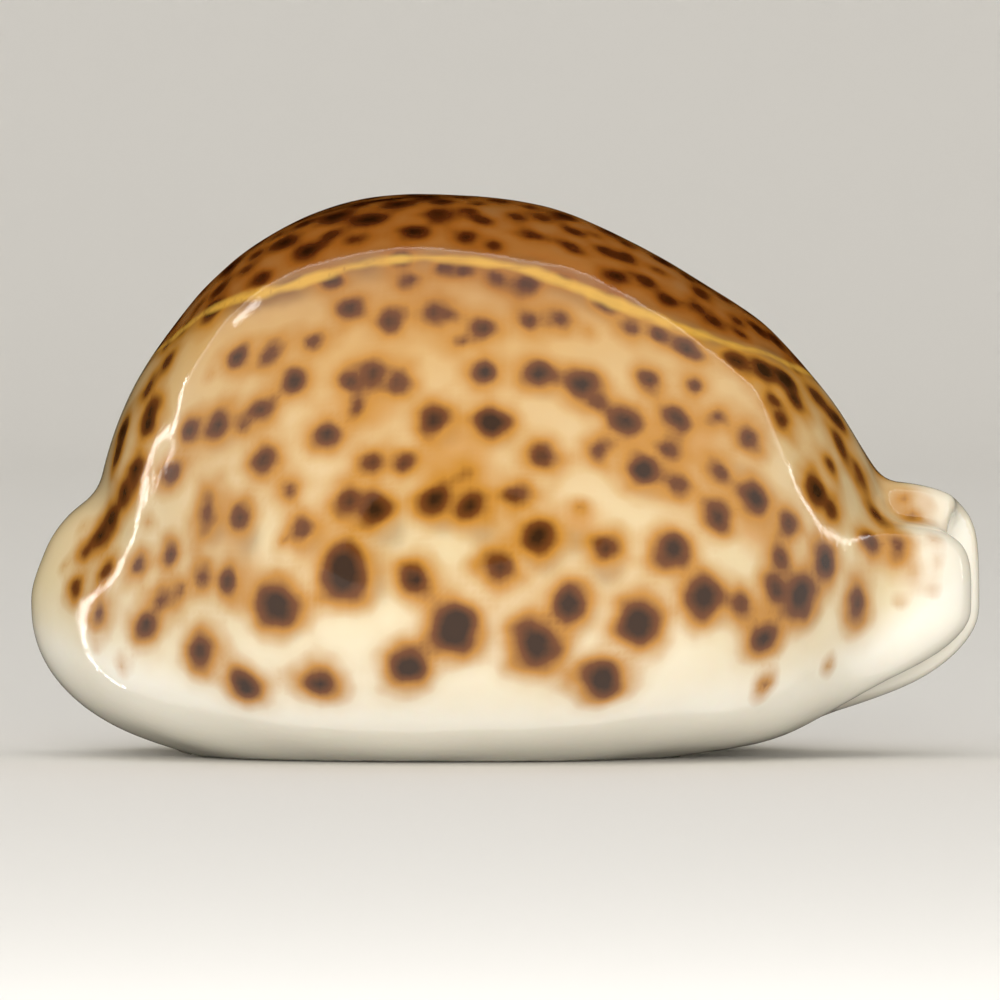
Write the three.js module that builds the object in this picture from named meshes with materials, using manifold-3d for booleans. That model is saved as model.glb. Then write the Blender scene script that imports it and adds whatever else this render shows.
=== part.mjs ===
// A tiger cowrie shell lying on its base, in millimetres with +Z up.
// +X runs to the siphon end, -X to the spire end, -Y to the outer lip and +Y to the columella lip.
// The shell grew as one piece: a domed last whorl, a callus that thickens its base and flares into a
// collar at each end, the hollow that the animal lived in, and a toothed slit along the base into it.
import * as THREE from "three";
import { mergeVertices } from "three/addons/utils/BufferGeometryUtils.js";
import Module from "manifold-3d";

const { lerp, smoothstep, clamp } = THREE.MathUtils;

// Driving sizes of the finished shell.
const LENGTH = 80;
const WIDTH = 56;
const HEIGHT = 47.2;

// The dome is an egg: its crest lies behind the middle, and it tapers more slowly towards the siphon.
const DOME = {
  crest: -6.5,
  back: 29.3,
  front: 39.4,
  backMeetsFront: 10,
  side: 0.6,
  half: 27.2,
  centre: 14,
  rise: 33.2,
  drop: 13,
  riseMeetsDrop: 7,
  fullness: 2.12,
  frontFullness: 2,
  frontTaper: 0.55,
};

// The callus is a long, low body. Its spire end is round and its siphon end is squarish.
const CALLUS = {
  half: 40,
  spire: { centre: 12.8, rise: 10.8, along: 6.5, across: 2.8, up: 2.2 },
  siphon: { centre: 12.8, rise: 10.2, along: 11, across: 4, up: 4.6 },
  change: 30,
  side: -0.5,
  collar: 10,
  swell: 17,
  swellCentre: -4,
  swellReach: 37,
  swellFullness: 2.6,
  swellTaper: 1.2,
  down: 2.6,
};

// The base rocks upwards from its resting place to each end.
const ROCKER = { centre: -12, spire: 1, spirePower: 3, siphon: 7.3, siphonPower: 3.4 };

// Blends between dome and callus: tight creases at the collars, one smooth flank between them.
const CREASE = { atEnds: 1.6, atFlank: 7, from: 20, to: 34 };

// The lowest skin of the base is worn level, which makes the small flat spot that the shell rests on.
const FLAT_SPOT_DEPTH = 0.35;

const WALL = 2.5;
const BASE_THICKNESS = 6.8;
const CHAMBER_CORNER = 5;

// The aperture: half widths between the tooth tips, and its centre line, which bends to the columella
// at both ends. Between the teeth it is wider by one tooth's depth.
const SLIT = {
  atSpire: 2.15,
  atMiddle: 2.35,
  atSiphon: 3,
  widensFrom: 4,
  changesUntil: 30,
  centre: -2.4,
  spireBend: 4.6,
  spireBendFrom: 8,
  siphonBend: 1.4,
  siphonBendFrom: 10,
  bendLength: 30,
};
const TOOTH = { pitch: 2.5, depth: 0.9, lastFromMiddle: 29, pointsPerPitch: 4 };

// The roof of the aperture, as x and z: level inside, and climbing out through each collar as a canal.
const SLIT_ROOF = [
  [-44, 34],
  [-39.5, 25],
  [-37, 19],
  [-33, 14],
  [-27, 11.5],
  [25, 11.5],
  [31, 13.5],
  [35.5, 18],
  [38, 23],
  [44, 34],
];
const BELOW_BASE = -6;

const OUTSIDE_SEGMENTS = [76, 42];
const INSIDE_SEGMENTS = [44, 24];
const RAY_CENTRE = new THREE.Vector3(-3, 0, 19);
const RAY_REACH = 70;
const RAY_HALVINGS = 30;
const MERGE_DISTANCE = 1e-4;
const LEAST_SLOPE = 1e-6;

// Roughly how far a point lies outside a rounded body. Each axis has its offset, half size and power.
function roundedBody(axes) {
  let level = 0;
  let slope = 0;
  for (const [offset, half, power] of axes) {
    const share = Math.abs(offset) / half;
    level += share ** power;
    slope += ((power * share ** (power - 1)) / half) ** 2;
  }
  return (level - 1) / Math.max(Math.sqrt(slope), LEAST_SLOPE);
}

// The lesser of two distances, rounded where they meet.
function blendUnion(a, b, reach) {
  const overlap = Math.max(reach - Math.abs(a - b), 0) / reach;
  return Math.min(a, b) - (overlap * overlap * reach) / 4;
}

function domeDistance(p) {
  const { crest, backMeetsFront, riseMeetsDrop } = DOME;
  const front = smoothstep(p.x, crest - backMeetsFront, crest + backMeetsFront);
  const half = lerp(DOME.back, DOME.front, front);
  const ahead = clamp((p.x - crest) / half, 0, 1);
  const taper = 1 - DOME.frontTaper * ahead ** 3 * (1 - ahead);
  const up = p.z - DOME.centre;
  const height = lerp(DOME.drop, DOME.rise * taper, smoothstep(up, -riseMeetsDrop, riseMeetsDrop));
  return roundedBody([
    [p.x - crest, half, lerp(DOME.fullness, DOME.frontFullness, front)],
    [p.y - DOME.side, DOME.half, DOME.fullness],
    [up, height, 2],
  ]);
}

// Height of the base above the ground that the shell rests on, along its length.
function rocker(x) {
  const spire = Math.max(ROCKER.centre - x, 0) / (CALLUS.half + ROCKER.centre);
  const siphon = Math.max(x - ROCKER.centre, 0) / (CALLUS.half - ROCKER.centre);
  return ROCKER.spire * spire ** ROCKER.spirePower + ROCKER.siphon * siphon ** ROCKER.siphonPower;
}

function callusHalfWidth(x) {
  const away = Math.min(Math.abs((x - CALLUS.swellCentre) / CALLUS.swellReach), 1);
  return CALLUS.collar + CALLUS.swell * (1 - away ** CALLUS.swellFullness) ** CALLUS.swellTaper;
}

function callusDistance(p) {
  const { spire, siphon, change } = CALLUS;
  const share = smoothstep(p.x, -change, change);
  const centre = lerp(spire.centre, siphon.centre, share);
  const up = p.z - centre;
  const height = up > 0 ? lerp(spire.rise, siphon.rise, share) : centre - rocker(p.x);
  const power = up > 0 ? lerp(spire.up, siphon.up, share) : CALLUS.down;
  return roundedBody([
    [p.x, CALLUS.half, lerp(spire.along, siphon.along, share)],
    [p.y - CALLUS.side, callusHalfWidth(p.x), lerp(spire.across, siphon.across, share)],
    [up, height, power],
  ]);
}

function outsideDistance(p) {
  const share = smoothstep(Math.abs(p.x), CREASE.from, CREASE.to);
  return blendUnion(domeDistance(p), callusDistance(p), lerp(CREASE.atFlank, CREASE.atEnds, share));
}

// The hollow follows the dome one wall inside it, and stops above the thick base.
function chamberDistance(p) {
  return -blendUnion(-domeDistance(p) - WALL, p.z - BASE_THICKNESS, CHAMBER_CORNER);
}

// A sphere whose points are pushed out along their rays until they meet a surface.
function pushedSphere(distance, [around, along]) {
  const geometry = new THREE.SphereGeometry(1, around, along);
  geometry.rotateZ(Math.PI / 2);
  geometry.scale(LENGTH / 2, WIDTH / 2, HEIGHT / 2);
  const position = geometry.getAttribute("position");
  const ray = new THREE.Vector3();
  const point = new THREE.Vector3();
  for (let i = 0; i < position.count; i++) {
    ray.fromBufferAttribute(position, i).normalize();
    let inside = 0;
    let outside = RAY_REACH;
    for (let halving = 0; halving < RAY_HALVINGS; halving++) {
      const reach = (inside + outside) / 2;
      point.copy(RAY_CENTRE).addScaledVector(ray, reach);
      if (distance(point) < 0) inside = reach;
      else outside = reach;
    }
    point.copy(RAY_CENTRE).addScaledVector(ray, inside);
    position.setXYZ(i, point.x, point.y, point.z);
  }
  return geometry;
}

function wearFlatSpot(geometry) {
  const position = geometry.getAttribute("position");
  geometry.computeBoundingBox();
  const flat = geometry.boundingBox.min.z + FLAT_SPOT_DEPTH;
  for (let i = 0; i < position.count; i++) {
    position.setZ(i, Math.max(position.getZ(i), flat));
  }
  return geometry;
}

// Brings the shell to its driving sizes, with the middle of its base on the origin.
function fitToSizes(geometry) {
  geometry.computeBoundingBox();
  const box = geometry.boundingBox;
  const size = box.getSize(new THREE.Vector3());
  const centre = box.getCenter(new THREE.Vector3());
  geometry.translate(-centre.x, -centre.y, -box.min.z);
  geometry.scale(LENGTH / size.x, WIDTH / size.y, HEIGHT / size.z);
  return geometry;
}

function slitCentre(x) {
  const spire = clamp((-x - SLIT.spireBendFrom) / SLIT.bendLength, 0, 1);
  const siphon = clamp((x - SLIT.siphonBendFrom) / SLIT.bendLength, 0, 1);
  return SLIT.centre + SLIT.spireBend * spire ** 2 + SLIT.siphonBend * siphon ** 2;
}

function slitHalfWidth(x) {
  return x < 0
    ? lerp(SLIT.atMiddle, SLIT.atSpire, smoothstep(-x, 0, SLIT.changesUntil))
    : lerp(SLIT.atMiddle, SLIT.atSiphon, smoothstep(x, SLIT.widensFrom, SLIT.changesUntil));
}

// One edge of the slit from spire to siphon: side -1 is the outer lip and +1 the columella lip.
function toothedEdge(side, reach) {
  const step = TOOTH.pitch / TOOTH.pointsPerPitch;
  const steps = Math.round((2 * reach) / step);
  return Array.from({ length: steps + 1 }, (_, n) => {
    const x = n * step - reach;
    const onGroove = n % TOOTH.pointsPerPitch >= TOOTH.pointsPerPitch / 2;
    const betweenTeeth = Math.abs(x) < TOOTH.lastFromMiddle && onGroove;
    const away = slitHalfWidth(x) + (betweenTeeth ? TOOTH.depth : 0);
    return new THREE.Vector2(x, slitCentre(x) + side * away);
  });
}

function extruded(outline, depth) {
  return new THREE.ExtrudeGeometry(new THREE.Shape(outline), { depth, bevelEnabled: false });
}

// The space of the aperture: its toothed plan, as far up as its roof.
function apertureSolid(solidOf) {
  const roof = SLIT_ROOF.map(([x, z]) => new THREE.Vector2(x, z));
  const spireEnd = roof[0].x;
  const siphonEnd = roof[roof.length - 1].x;
  const floor = [new THREE.Vector2(siphonEnd, BELOW_BASE), new THREE.Vector2(spireEnd, BELOW_BASE)];
  const underRoof = extruded([...floor, ...roof], WIDTH);
  underRoof.rotateX(Math.PI / 2);
  underRoof.translate(0, WIDTH / 2, 0);

  const plan = [...toothedEdge(-1, siphonEnd), ...toothedEdge(1, siphonEnd).reverse()];
  const slit = extruded(plan, HEIGHT);
  slit.translate(0, 0, BELOW_BASE - 1);
  return solidOf(slit).intersect(solidOf(underRoof));
}

// Turns closed geometries into solids that can be joined and cut.
async function solidMaker() {
  const wasm = await Module();
  wasm.setup();
  return (geometry) => {
    const bare = geometry.clone();
    bare.deleteAttribute("normal");
    bare.deleteAttribute("uv");
    const merged = mergeVertices(bare, MERGE_DISTANCE);
    const vertProperties = new Float32Array(merged.getAttribute("position").array);
    const triVerts = new Uint32Array(merged.index.array);
    return new wasm.Manifold(new wasm.Mesh({ numProp: 3, vertProperties, triVerts }));
  };
}

function geometryOf(solid) {
  const { vertProperties, triVerts } = solid.getMesh();
  const geometry = new THREE.BufferGeometry();
  geometry.setAttribute("position", new THREE.BufferAttribute(vertProperties, 3));
  geometry.setIndex(new THREE.BufferAttribute(triVerts, 1));
  return geometry;
}

async function shellGeometry() {
  const solidOf = await solidMaker();
  const outside = wearFlatSpot(pushedSphere(outsideDistance, OUTSIDE_SEGMENTS));
  const chamber = pushedSphere(chamberDistance, INSIDE_SEGMENTS);
  const shell = solidOf(outside).subtract(solidOf(chamber)).subtract(apertureSolid(solidOf));
  const geometry = fitToSizes(geometryOf(shell));
  geometry.computeVertexNormals();
  return geometry;
}

const glossyShell = new THREE.MeshStandardMaterial({
  name: "glossy_shell",
  color: 0xd9b98a,
  roughness: 0.12,
  metalness: 0,
});

const shell = new THREE.Mesh(await shellGeometry(), glossyShell);
shell.name = "cowrie_shell";

const part = new THREE.Group();
part.name = "tiger_cowrie";
part.add(shell);

export default part;
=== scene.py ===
from math import cos, pi, radians, sin
from types import SimpleNamespace

import bmesh
import bpy
import numpy as np
import openvdb
from bpy.props import FloatProperty, FloatVectorProperty, IntProperty, PointerProperty
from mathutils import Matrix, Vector
from mathutils.bvhtree import BVHTree


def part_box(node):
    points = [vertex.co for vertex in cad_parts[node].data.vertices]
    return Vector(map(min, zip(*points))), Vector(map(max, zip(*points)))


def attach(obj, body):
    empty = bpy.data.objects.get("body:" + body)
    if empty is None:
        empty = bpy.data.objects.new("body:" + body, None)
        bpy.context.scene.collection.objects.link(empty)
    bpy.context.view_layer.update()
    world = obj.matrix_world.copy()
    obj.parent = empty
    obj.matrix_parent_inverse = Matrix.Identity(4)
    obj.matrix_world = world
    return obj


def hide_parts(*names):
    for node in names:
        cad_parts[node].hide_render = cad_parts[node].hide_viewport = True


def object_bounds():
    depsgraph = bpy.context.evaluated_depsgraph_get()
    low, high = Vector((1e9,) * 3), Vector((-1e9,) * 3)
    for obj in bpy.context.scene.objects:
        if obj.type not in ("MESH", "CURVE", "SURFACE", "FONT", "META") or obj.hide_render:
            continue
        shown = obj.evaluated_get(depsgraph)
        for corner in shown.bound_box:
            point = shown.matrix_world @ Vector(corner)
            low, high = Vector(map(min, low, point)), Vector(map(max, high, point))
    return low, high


bl_info = {
    "name": "Tiger Cowrie",
    "version": (1, 0, 0),
    "blender": (4, 5, 0),
    "location": "3D View > Sidebar > Cowrie",
    "description": "Grows, marks and lights a tiger cowrie shell",
    "category": "Object",
}

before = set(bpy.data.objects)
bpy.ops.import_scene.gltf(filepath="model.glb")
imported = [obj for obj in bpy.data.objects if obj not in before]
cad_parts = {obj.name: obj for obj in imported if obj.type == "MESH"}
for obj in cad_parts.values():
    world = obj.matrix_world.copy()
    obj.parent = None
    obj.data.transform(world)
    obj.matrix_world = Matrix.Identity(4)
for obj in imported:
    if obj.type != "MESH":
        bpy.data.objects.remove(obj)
CAD_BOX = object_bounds()
NODE = "cowrie_shell"
BODY = "root"
PIECE = "tiger_cowrie_shell"
SHELL_BOX = [np.array(corner) * 1000 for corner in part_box(NODE)]
MM = 0.001
SENSOR = 36
AIM = (-0.55, 0, 21.4)

# Fixed proportions of the shell, in mm.
# A "full" value is the power that rounds a body: 2 is round, and more is squarer.
DOME = SimpleNamespace(
    turn=10, level=7, drop=13.0, side=0.6, taper=0.55,
    full_back=2.25, full_front=2.0, full_across=2.12, full_up=2.0,
)
CALLUS = SimpleNamespace(
    half=40, side=-0.5, centre=12.8, change=30, full_down=2.6,
    collar=10, flare=17, flare_centre=-4, flare_reach=37, flare_changes=(-4, 6),
)
CALLUS_SPIRE = SimpleNamespace(
    rise=11.4, full_along=6.5, full_across=2.8, full_up=2.2, flare_full=2.6, flare_tail=1.2,
)
CALLUS_SIPHON = SimpleNamespace(
    rise=10.2, full_along=11, full_across=3.6, full_up=4.6, flare_full=3.8, flare_tail=2.0,
)
# The callus is slimmer where it climbs behind the spire end of the dome.
WAIST = SimpleNamespace(share=0.3, up=(6, 16), along=(18, 30))
# At the siphon end the outer lip's lobe is lower on top, higher below and shorter than the columella's.
OUTER_LOBE = SimpleNamespace(
    across=5, along=(14, 34), lower=3.0, lifted=1.5, lifted_along=(22, 36), shorter=0.9,
)
# The base rocks up from its resting place to each end, with a slow step in the middle.
ROCKER = SimpleNamespace(
    centre=-12, spire=3.4, spire_power=2.2, spire_length=28, siphon=6.9, siphon_power=4.2, siphon_length=52,
    step=1.1, step_along=(-2, 17),
)
# One smooth flank in the middle, and tight creases where the collars start.
CREASE = SimpleNamespace(flank=7.5, along=(20, 33), spire_up=(13, 20))
FLAT_SPOT = 0.33
# Growth ripples: how many waves, their shortest and longest length, and their share of the depth.
RIPPLES = ((9, 7, 17, 1.0), (8, 2.6, 5, 0.1))
SLIT = SimpleNamespace(
    side=-2.4, spire_bend=4.6, spire_from=8, siphon_bend=1.4, siphon_from=10, bend_length=30,
    narrower=0.2, wider=0.65, wider_from=4, ends=30,
)
# The aperture's roof as x and z: level inside, and climbing out through each collar.
SLIT_ROOF = (
    (-41, 29), (-37, 18.5), (-33, 14), (-27, 11), (25, 11), (31, 13), (35.5, 17), (38.5, 22), (41, 30),
)
CORNER = SimpleNamespace(roof=4.0, room=5.0, mouth=3.0, end_lip=2.0, end_lip_along=(28, 38))
# Where the lips are looked at closely: how far from the slit, up and along.
LIP_BAND = SimpleNamespace(across=4, up=7, along=34)
# How far the teeth reach onto the base on each lip, and up into the slit.
TEETH_REACH = SimpleNamespace(
    outer=4.2, outer_at_siphon=1.2, siphon_along=(14, 24), columella=3.0,
    start=0.6, up=(3.5, 6.5), middle=1, tail=2,
)
# The corners of the block of space that the shell grows in.
GROWTH_SPACE = ((-42, -30, -1), (42, 30, 50))
# The line between the two mantle flaps: an arch over the near side of the back.
SEAM = SimpleNamespace(centre=-2.3, half=28.8, side=-14.8, power=4.5, limit=1.25, up=(24, 30), away=9)
# How deep the glaze reaches under the outer skin, and how far a spot's distance is followed.
SKIN_DEPTH = 0.8
FIELD_REACH = 4
# The margin without spots: its height over the base's edge, its rise at the ends, and its fade.
MARGIN = SimpleNamespace(height=4, ends=3, along=(20, 36), fade=(-1.5, 2.5), left=0.3)
# Where spots are listed one by one: the near side, up to the seam, between the collars' tips.
BY_HAND = SimpleNamespace(along=37, near=-12)
# Spots sown elsewhere: dots to choose from, where they may lie, and how they change from above to below.
SOWN = SimpleNamespace(
    dots=1.3, along=(-36.5, 33), down=(-24, -12), back_up=28, crowded=0.76, apart=2.1, uneven=(0.85, 1.2),
    radius=(1.0, 1.5), larger=1.45, paler=0.75, beside_placed=0.6, clear_of_placed=0.5,
)
# The tent's opening looks down at the shell from above the camera.
OPENING_TURN = (radians(-30), 0, radians(-2))
# How far touching spots, deep spots and clouds flow together.
MERGE = SimpleNamespace(spots=0.42, deep=0.5, clouds=1.5)
CLOUD_DEPTH = 1.8
# How brown the ground is at each height.
TONES_UP = ((0, 0.0), (5, 0.14), (16, 0.3), (30, 0.52), (39, 0.72), (47, 0.86))
BACK_TONE = SimpleNamespace(tone=0.92, across=(-1.5, 1.5), up=(26, 34))
PALE_LOBES = SimpleNamespace(share=0.7, along=(31, 36))

# Spots of the near side, in mm: along the shell, height and radius.
# A fourth value says how tall a spot is if it isn't round.
BIG_SPOTS = [
    (-14, 15.3, 2.3), (-19.7, 12.6, 1.9), (-4.7, 10.6, 2.2), (2.2, 9.4, 2.2), (5.1, 12.7, 1.7),
    (10.9, 11.3, 1.9), (16.4, 13.3, 1.7), (24.6, 13.4, 1.6), (22.6, 13.8, 1.3), (-8.8, 7.3, 1.6),
    (7.6, 6.2, 1.8), (-7.9, 14.6, 1.4), (-0.8, 15.5, 1.4), (2.3, 18.2, 1.6), (8.3, 17.2, 1.2),
    (13.9, 17.1, 1.4), (19.8, 12.5, 1.2), (21.5, 9.8, 1.2), (26.6, 16.3, 1.3), (29.3, 12.7, 1.0, 1.4),
    (-26.2, 8.9, 1.4), (-22.4, 5.6, 1.3), (-16.1, 6, 1.3),
]
LEFT_SPOTS = [
    (-25.6, 20.4, 1.1, 1.5), (-22.7, 19.7, 1), (-28.7, 16.7, 0.75), (-28.7, 23.5, 1), (-27.1, 26.9, 0.9),
    (-24.7, 27.6, 1.3), (-22.5, 27.2, 0.8), (-20.7, 24.5, 1.2), (-18.7, 22.2, 0.9), (-15.6, 26.8, 1.1),
    (-11.9, 24.5, 0.95), (-9, 24.3, 1), (-17.6, 18.6, 1.1), (-13.6, 21.2, 1.2), (-11.6, 20.6, 1.5),
    (-26.2, 14.6, 0.95), (-23.7, 14.5, 0.95), (-27.8, 13.8, 0.8), (-29.7, 12.7, 1), (-30.7, 11.1, 1.2),
    (-31.5, 15.9, 0.8), (-34.1, 15.5, 0.6), (-36.6, 14.3, 0.6), (-34.6, 18.5, 0.9), (-33.7, 19.7, 0.9),
    (-33.1, 25.4, 0.8), (-31.7, 23.8, 1), (-30.6, 27.6, 0.8), (-34.8, 11.9, 0.8), (-30.3, 28.8, 0.9),
    (-30.6, 30.5, 0.8), (-29, 32.7, 0.7), (-32.8, 26.9, 0.8), (-32.6, 21.8, 0.8), (-35.9, 17, 0.6),
]
MIDDLE_SPOTS = [
    (-6.3, 21.3, 1.5), (-3.2, 20.9, 1.5), (-3.7, 23.3, 0.8), (0.7, 21.6, 1.2), (-6.2, 27.8, 1.4),
    (-1.5, 27.7, 1.4), (2.8, 24.8, 1.2), (7.6, 25.5, 1), (11.2, 23.8, 1.5), (13.9, 22.6, 1.2),
    (13.3, 25.6, 1), (9.7, 28, 1.2), (14.1, 27.9, 1.1), (20.9, 21.4, 1.5), (23.5, 19.4, 1),
    (22.9, 16.5, 0.9), (17.6, 19.9, 1.2), (17.9, 23.8, 1), (20.4, 26.6, 1.1), (17.5, 28.3, 0.9),
    (15.6, 30.7, 0.9), (23, 28, 0.8), (25.9, 22, 1.2), (27.2, 20.7, 0.8), (27.1, 24.2, 0.5, 1.4),
    (30.5, 17.8, 0.8), (33.4, 21.5, 0.5, 2), (31.2, 24.2, 0.5, 2), (24, 29.7, 1), (27.6, 28.1, 0.8),
    (32.8, 17.6, 0.7, 1.5), (29.6, 23.4, 0.6, 2), (31, 20, 0.6, 2), (28.1, 25.6, 0.7, 1.4),
    (25.8, 30, 0.8), (34.2, 20, 0.4, 2), (21.5, 32, 1), (19.2, 32.8, 1), (23.3, 31.3, 0.9),
    (29.8, 26.3, 0.6, 1.5), (22.3, 29.6, 0.8),
]
UPPER_SPOTS = [
    (-23.1, 33.1, 1.1), (-20.1, 33.5, 1), (-18.1, 31.2, 1.1), (-16.8, 34.4, 1), (-13.4, 37.3, 1.1),
    (-10, 36.2, 1.2), (-15, 39.5, 1), (-11.5, 31.8, 1.4), (-9.5, 31.2, 1), (-13.5, 31, 1),
    (-12.9, 29.1, 1.1), (-21.1, 28.8, 1), (-25.3, 36.9, 1), (-6.5, 36.9, 1.3), (-5, 36.7, 1),
    (-8.5, 39.5, 0.9), (-9.1, 41.3, 1), (-5.6, 40.6, 0.8), (-3.8, 40.3, 0.8), (-2.2, 35.6, 1.1),
    (-4.1, 34.4, 0.8), (-2, 32, 1.2), (2.3, 31.7, 1.6, 0.8), (6.2, 30.8, 1.4), (7.1, 29.4, 1),
    (4.2, 36.3, 1.2), (1.6, 36.3, 0.9), (8.1, 37.7, 0.9), (10.4, 35.4, 1), (12.6, 34.9, 0.9),
    (14.8, 33.9, 1.1), (11.8, 31.2, 1), (-1, 39.8, 0.9), (1.3, 39.3, 1), (4.5, 39.6, 0.6),
    (-23.6, 40.6, 1), (-19, 42.7, 1), (-16.9, 42, 1), (-14.6, 44.8, 1.2), (-11.9, 44.5, 1.1),
    (-9.5, 45.8, 1), (-6.2, 45.1, 1.1), (-13.1, 42.9, 0.9), (-8.1, 43.5, 1), (-3.7, 43.1, 0.9),
    (-1.4, 42.5, 0.7),
]
PALE_SPOTS = [
    (21.6, 5.9, 1.3), (27, 7.7, 0.7), (32.9, 12.7, 0.6), (36.1, 16.1, 0.6, 1.5), (35.8, 18, 0.6),
    (35.7, 13.6, 0.5), (33.9, 15.5, 0.5), (6, 20.5, 1.1), (-19.2, 17.8, 1), (-32.8, 7.4, 0.9),
    (-37.7, 15.7, 0.6), (-36, 19.2, 0.7), (-25.3, 31.6, 0.8), (6.4, 35.4, 0.9), (8.3, 6.4, 1.0),
    (-35, 9, 0.6), (-30.5, 19.5, 0.8),
]
# Older spots, further down in the glaze and grown over since.
DEEP_SPOTS = [
    (-25.1, 19, 1.1), (-22.1, 17.8, 1), (-10.2, 18.6, 1.1), (-5.7, 19.9, 1.2), (-2.2, 18.6, 1.1),
    (2.8, 16.5, 1.2), (8.3, 15.5, 1.2), (5.7, 18.2, 1.1), (-12.8, 14.6, 2.2), (-3.9, 10.1, 2), (3, 9, 2),
    (-19.2, 11.9, 1.8), (11.3, 10.8, 1.7), (25, 12.6, 1.6), (-8.3, 6.9, 1.3), (-11.2, 19.6, 1.4),
    (11.6, 23.1, 1.5), (21.2, 20.8, 1.5), (3, 31.4, 1.4), (-11, 31.3, 1.4), (6.5, 30.3, 1.4),
    (-24.5, 26.9, 1.2), (-1.2, 27.2, 1.4), (-5.9, 27.3, 1.4), (17.2, 12.8, 1.6), (20, 23, 1.2),
    (-17.2, 17.9, 1), (5.4, 12.1, 1.6), (13.9, 16.4, 1.3),
]
# A spot's colours: mm from its edge, colour and cover. The first and last stop come first.
SPOT_PROFILE = [
    (-1.5, "core", 1), (1.5, "halo", 0), (-0.7, "rust", 1), (0.0, "halo", 0.95), (0.65, "halo", 0.45),
]
# How much larger in mm the glaze makes each kind of spot, and how dark they are.
SPOT_KINDS = (
    (BIG_SPOTS, 0.25, 1.0),
    (LEFT_SPOTS + MIDDLE_SPOTS, 0.45, 0.8),
    (UPPER_SPOTS, 0.35, 0.85),
    (PALE_SPOTS, 0, 0.12),
)
# Soft orange clouds between the spots.
CLOUDS = [
    (-4.6, 25.5, 3), (-4.5, 22, 3.5), (20.9, 19.3, 2.6), (12.5, 24.5, 3.5), (-16.5, 18.5, 2.6),
    (6, 19.5, 2.2), (-22.5, 14.2, 2.5), (2, 18, 2.4), (-24, 20, 2.5), (22, 11, 2.6), (-12, 29.5, 3),
    (15, 27, 3),
]


# ---------------------------------------------------------------- settings

def linear(hex_value):
    """A hex sRGB colour as linear red, green and blue."""
    parts = [int(hex_value[i:i + 2], 16) / 255 for i in (1, 3, 5)]
    return tuple(c / 12.92 if c <= 0.04045 else ((c + 0.055) / 1.055) ** 2.4 for c in parts)


def length_mm(name, description, default):
    return FloatProperty(name=name, description=description + ", in mm", default=default, precision=2)


def colour(name, description, hex_value):
    return FloatVectorProperty(
        name=name, description=description, subtype="COLOR", size=3, min=0, max=1, default=linear(hex_value)
    )


class CowrieShape(bpy.types.PropertyGroup):
    """Sizes of the shell. x runs from spire to siphon, y from outer lip to columella, z up."""
    crest: length_mm("Crest", "Where the back is highest, along x", -6.5)
    back: length_mm("Behind the crest", "Length of the dome from its crest to the spire end", 29.0)
    front: length_mm("Before the crest", "Length of the dome from its crest to the siphon end", 39.4)
    half_width: length_mm("Half width", "Half the width of the dome", 27.2)
    rise: length_mm("Rise", "Height of the dome over its widest level", 33.2)
    widest: length_mm("Widest level", "Height of the level where the dome is widest", 14.0)
    crease: length_mm("Crease", "How far dome and collar blend into each other", 1.3)
    wall: length_mm("Wall", "Thickness of the dome's wall", 2.5)
    base: length_mm("Base", "Thickness of the base at the aperture", 6.8)
    slit: length_mm("Slit", "Half the width of the aperture between its teeth", 2.35)
    lip: length_mm("Lip", "How far the lips roll in", 4.5)
    ripple: length_mm("Ripple", "Depth of the slow ripples that growth leaves in the gloss", 0.05)
    grid: length_mm("Grid", "Spacing of the points that carry the surface", 0.62)


class CowrieTeeth(bpy.types.PropertyGroup):
    """The teeth of both lips."""
    pitch: length_mm("Pitch", "From one tooth to the next along the lip", 2.5)
    height: length_mm("Height", "How far a tooth stands out between its grooves", 0.85)
    last: length_mm("Last tooth", "How far from the middle the teeth end", 29.5)


class CowrieMarkings(bpy.types.PropertyGroup):
    """Colours and spots of the mantle's pattern."""
    spacing: length_mm("Spacing", "Least distance between spots on the back", 2.7)
    seed: IntProperty(name="Seed", description="Starts the random pattern of the far side", default=7)
    margin: colour("Margin", "Base and margins, milky white", "#F7F2E4")
    flank: colour("Flank", "Sides, cream", "#E2D1A9")
    shoulder: colour("Shoulder", "Upper sides, tan", "#CFA76C")
    back: colour("Back", "Crest of the back, orange-brown", "#9E5C20")
    cloud: colour("Cloud", "Soft orange clouds between the spots", "#C6873A")
    tan: colour("Tan", "Ground around each spot, golden tan", "#C49A5A")
    halo: colour("Halo", "Golden rim of each spot", "#BD8331")
    rust: colour("Rust", "Red-brown ring inside the rim", "#70401A")
    core: colour("Core", "Heart of each spot, nearly black", "#38220F")
    deep: colour("Deep", "Older spots that show through the glaze, grey-brown", "#84664A")
    seam: colour("Seam", "Line where the two mantle flaps met, golden", "#E0AE48")


class CowrieStudio(bpy.types.PropertyGroup):
    """Camera, light tent and floor."""
    focal: FloatProperty(name="Focal length", description="Focal length in mm", default=400, min=20)
    width: FloatProperty(
        name="View width", description="Width of the view at the shell", default=0.0843, unit="LENGTH"
    )
    elevation: FloatProperty(
        name="Elevation", description="Angle of the camera over the shell", default=radians(1.2),
        subtype="ANGLE",
    )
    glow: FloatProperty(name="Tent glow", description="Radiance of the tent's walls", default=0.82, min=0)
    room: FloatProperty(name="Room light", description="Radiance of the white room", default=1.05, min=0)
    floor: colour("Floor", "Pale paper under and behind the shell", "#E6E4E0")


# ---------------------------------------------------------------- the shell's rule

def smooth(value, low, high):
    """0 below low, 1 above high and an even slope between them."""
    share = np.clip((value - low) / (high - low), 0, 1)
    return share * share * (3 - 2 * share)


def mix(a, b, share):
    return a + (b - a) * share


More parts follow.
